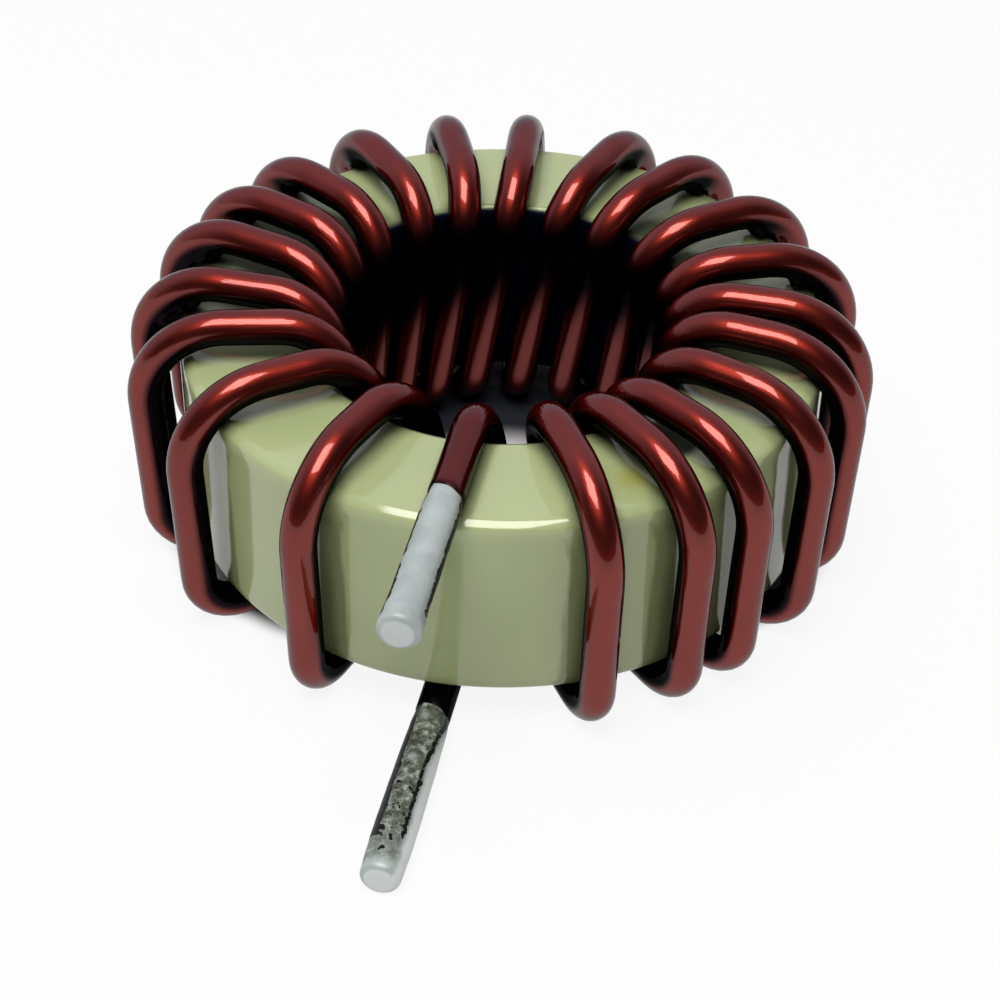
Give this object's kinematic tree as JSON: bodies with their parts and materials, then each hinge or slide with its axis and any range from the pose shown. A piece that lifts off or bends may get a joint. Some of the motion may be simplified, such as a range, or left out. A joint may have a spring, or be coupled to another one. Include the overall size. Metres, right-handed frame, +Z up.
{
  "type": "toroidal inductor",
  "caption": "Toroidal choke: a coated magnetic ring core wound with a single spaced layer of thick enamelled copper wire, its tinned ends led out straight to the same side.",
  "frame": {"origin": "on the ring's axis, on the plane that the winding rests on", "axes": "+Z up along the ring's axis; the leads point to the front, -Y; +X to the right seen from the front"},
  "size_m": [0.0382, 0.0469, 0.0153],
  "materials": {
    "core_coat": "glossy pale olive epoxy coat",
    "enamelled_copper": "glossy red-brown enamel over copper",
    "tinned_copper": "dipped solder, slightly lumpy"
  },
  "bodies": {
    "root": {"coated_core": "core_coat", "winding": "enamelled_copper", "upper_tinned_end": "tinned_copper", "lower_tinned_end": "tinned_copper"}
  },
  "joints": []
}
